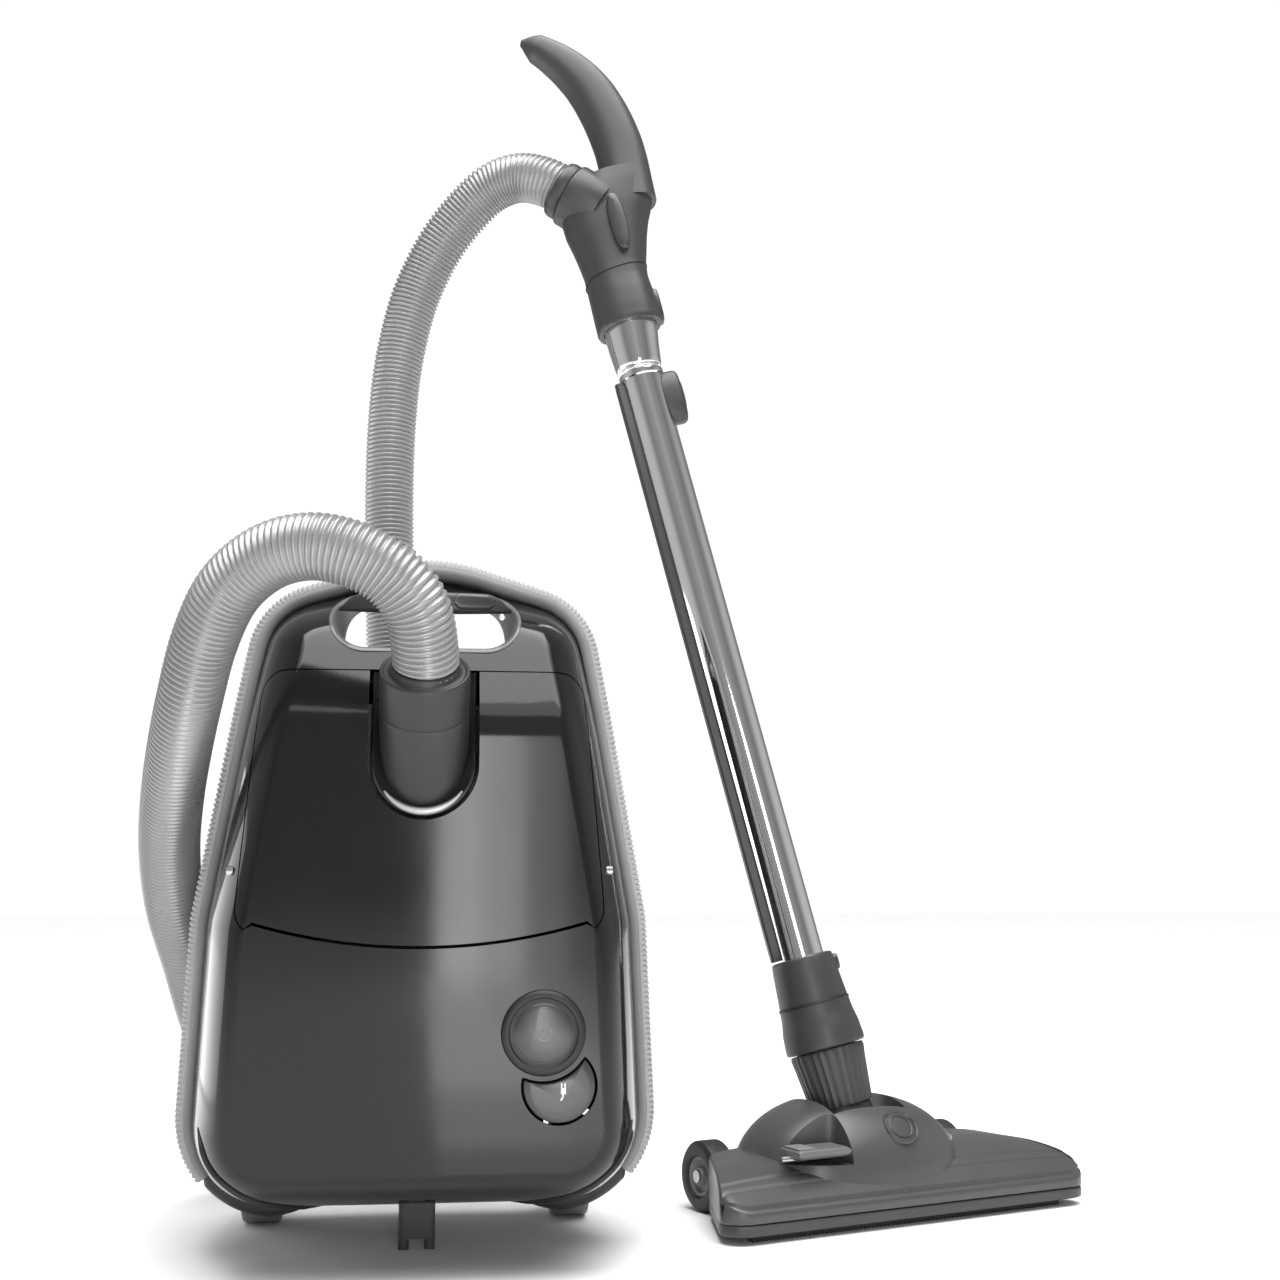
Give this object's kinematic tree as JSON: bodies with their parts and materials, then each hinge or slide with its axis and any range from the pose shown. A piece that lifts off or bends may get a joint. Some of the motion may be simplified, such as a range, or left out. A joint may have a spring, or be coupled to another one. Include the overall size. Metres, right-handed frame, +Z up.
{
  "type": "canister vacuum cleaner",
  "caption": "Upright-parked canister vacuum cleaner with corrugated hose, chrome telescopic tube and floor head.",
  "frame": {"origin": "middle of the parking lug's floor face, under the canister", "axes": "+X across the canister to its right, +Y from the top cover to the underside with the wheels, +Z up"},
  "size_m": [0.622, 0.4353, 0.866],
  "materials": {
    "gloss_anthracite": "gloss",
    "belt_textile": "ribbed",
    "foam": "matte",
    "soft_black": "matte",
    "silver_plastic": "satin",
    "dark_plastic": "matte",
    "button_plastic": "satin",
    "hose_plastic": "satin",
    "wheel_plastic": "satin",
    "chrome_tube": "polished",
    "steel": "satin",
    "motor_metal": "satin",
    "paper_bag": "matte",
    "circuit_board": "satin"
  },
  "bodies": {
    "canister": {"upper_shell": "gloss_anthracite", "base_shell": "gloss_anthracite", "parking_lug": "soft_black", "exhaust_belt": "belt_textile", "belt_foam": "foam", "corner_guards": "soft_black", "handle_bezel": "silver_plastic", "carry_handle": "silver_plastic", "inlet_saddle": "gloss_anthracite", "bag_indicator": "silver_plastic", "lid_pin": "steel", "bulkhead": "dark_plastic", "dust_bag": "paper_bag", "bag_plate": "paper_bag", "motor_filter": "foam", "motor_housing": "dark_plastic", "motor_stator": "motor_metal", "motor_mount": "soft_black", "reel_axle": "steel", "cord_outlet": "soft_black", "control_board": "circuit_board", "power_switch": "circuit_board", "knob_bezel": "dark_plastic", "wheel_axles": "steel", "shell_screws": "steel", "hose": "hose_plastic"},
    "lid": {"lid": "gloss_anthracite"},
    "lid_latch": {"lid_latch": "dark_plastic"},
    "rotor": {"motor_armature": "steel", "motor_fan": "motor_metal"},
    "cord_reel": {"cord_reel": "dark_plastic"},
    "power_plunger": {"power_plunger": "dark_plastic"},
    "power_knob": {"power_knob": "button_plastic"},
    "rewind_button": {"rewind_button": "button_plastic"},
    "rear_wheel_left": {"rear_wheel_left": "wheel_plastic"},
    "rear_wheel_right": {"rear_wheel_right": "wheel_plastic"},
    "castor_fork": {"castor_fork": "dark_plastic", "castor_axle": "steel"},
    "castor_wheel": {"castor_wheel": "wheel_plastic"},
    "hose_connector": {"hose_connector": "dark_plastic"},
    "handle": {"handle_grip": "dark_plastic", "handle_body": "dark_plastic", "inner_tube": "chrome_tube"},
    "hose_cuff": {"hose_cuff": "dark_plastic"},
    "air_slider": {"air_slider": "dark_plastic"},
    "release_tab": {"release_tab": "dark_plastic"},
    "outer_tube": {"outer_tube": "chrome_tube", "tube_rail": "dark_plastic", "tube_socket": "gloss_anthracite"},
    "slide_lock": {"slide_lock": "dark_plastic"},
    "socket_latch": {"socket_latch": "dark_plastic"},
    "neck": {"neck": "dark_plastic"},
    "floor_head": {"head_cover": "gloss_anthracite", "sole_plate": "dark_plastic", "neck_pin": "steel", "head_axle": "steel"},
    "pedal": {"pedal": "button_plastic"},
    "brush_strips": {"brush_strips": "soft_black"},
    "head_wheel_left": {"head_wheel_left": "wheel_plastic"},
    "head_wheel_right": {"head_wheel_right": "wheel_plastic"}
  },
  "joints": [
    {"name": "lid_hinge", "type": "hinge", "parent": "canister", "child": "lid", "pos_m": [0, -0.092, 0.225], "axis": [1, 0, 0], "range_deg": [0, 60]},
    {"name": "latch_slide", "type": "slide", "parent": "canister", "child": "lid_latch", "axis": [0, 0, -1], "range_m": [0, 0.003], "stiffness_N_per_m": 400, "springref_m": -0.002},
    {"name": "motor_spin", "type": "hinge", "parent": "canister", "child": "rotor", "pos_m": [-0.052, 0, 0.102], "axis": [0, 1, 0], "continuous": true},
    {"name": "reel_spin", "type": "hinge", "parent": "canister", "child": "cord_reel", "pos_m": [0.062, 0, 0.122], "axis": [0, 1, 0], "continuous": true},
    {"name": "power_press", "type": "slide", "parent": "canister", "child": "power_plunger", "axis": [0, 1, 0], "range_m": [0, 0.003], "stiffness_N_per_m": 400, "springref_m": -0.001},
    {"name": "power_turn", "type": "hinge", "parent": "power_plunger", "child": "power_knob", "pos_m": [0.068, 0, 0.136], "axis": [0, 1, 0], "range_deg": [0, 270]},
    {"name": "rewind_press", "type": "slide", "parent": "canister", "child": "rewind_button", "axis": [0, 1, 0], "range_m": [0, 0.004], "stiffness_N_per_m": 300, "springref_m": -0.001},
    {"name": "wheel_left_spin", "type": "hinge", "parent": "canister", "child": "rear_wheel_left", "pos_m": [-0.098, 0.088, 0.032], "axis": [1, 0, 0], "continuous": true},
    {"name": "wheel_right_spin", "type": "hinge", "parent": "canister", "child": "rear_wheel_right", "pos_m": [0.098, 0.088, 0.032], "axis": [1, 0, 0], "continuous": true},
    {"name": "castor_swivel", "type": "hinge", "parent": "canister", "child": "castor_fork", "pos_m": [0, 0.076, 0.308], "axis": [0, 1, 0], "continuous": true},
    {"name": "castor_spin", "type": "hinge", "parent": "castor_fork", "child": "castor_wheel", "pos_m": [0, 0.103, 0.296], "axis": [1, 0, 0], "continuous": true},
    {"name": "connector_turn", "type": "hinge", "parent": "canister", "child": "hose_connector", "pos_m": [0, -0.11, 0.305], "axis": [0, -0.5878, 0.809], "continuous": true},
    {"name": "handle_lift", "type": "slide", "parent": "canister", "child": "handle", "axis": [-0.2345, 0.1392, 0.9621], "range_m": [0, 0.3], "deforming": ["hose"]},
    {"name": "cuff_turn", "type": "hinge", "parent": "handle", "child": "hose_cuff", "pos_m": [0.10541, 0.17409, 0.7267], "axis": [-0.8436, 0.1001, 0.5276], "continuous": true},
    {"name": "air_slide", "type": "slide", "parent": "handle", "child": "air_slider", "axis": [0.2345, -0.1392, -0.9621], "range_m": [0, 0.012]},
    {"name": "release_slide", "type": "slide", "parent": "handle", "child": "release_tab", "axis": [-0.2345, 0.1392, 0.9621], "range_m": [0, 0.004], "stiffness_N_per_m": 300, "springref_m": -0.002},
    {"name": "telescope", "type": "slide", "parent": "handle", "child": "outer_tube", "axis": [0.2345, -0.1392, -0.9621], "range_m": [0, 0.3]},
    {"name": "lock_slide", "type": "slide", "parent": "outer_tube", "child": "slide_lock", "axis": [0.2345, -0.1392, -0.9621], "range_m": [0, 0.008], "stiffness_N_per_m": 300, "springref_m": -0.003},
    {"name": "socket_latch_slide", "type": "slide", "parent": "outer_tube", "child": "socket_latch", "axis": [0.2345, -0.1392, -0.9621], "range_m": [0, 0.002], "stiffness_N_per_m": 400, "springref_m": -0.002},
    {"name": "neck_swivel", "type": "hinge", "parent": "outer_tube", "child": "neck", "pos_m": [0.286, 0.075, 0.045], "axis": [-0.2345, 0.1392, 0.9621], "range_deg": [-40, 40]},
    {"name": "head_tilt", "type": "hinge", "parent": "neck", "child": "floor_head", "pos_m": [0.286, 0.075, 0.034], "axis": [0.9272, 0.3746, 0], "range_deg": [-3, 50]},
    {"name": "pedal_rock", "type": "hinge", "parent": "floor_head", "child": "pedal", "pos_m": [0.24942, 0.02139, 0.0445], "axis": [0.9272, 0.3746, 0], "range_deg": [0, 8]},
    {"name": "brush_lift", "type": "slide", "parent": "floor_head", "child": "brush_strips", "axis": [0, 0, 1], "range_m": [0, 0.0039]},
    {"name": "head_wheel_left_spin", "type": "hinge", "parent": "floor_head", "child": "head_wheel_left", "pos_m": [0.19181, 0.08656, 0.023], "axis": [0.9272, 0.3746, 0], "continuous": true},
    {"name": "head_wheel_right_spin", "type": "hinge", "parent": "floor_head", "child": "head_wheel_right", "pos_m": [0.36798, 0.15773, 0.023], "axis": [0.9272, 0.3746, 0], "continuous": true}
  ],
  "couplings": [
    {"joint": "telescope", "follows": "handle_lift", "ratio": 1},
    {"joint": "pedal_rock", "follows": "brush_lift", "rad_per_m": 35.7}
  ]
}
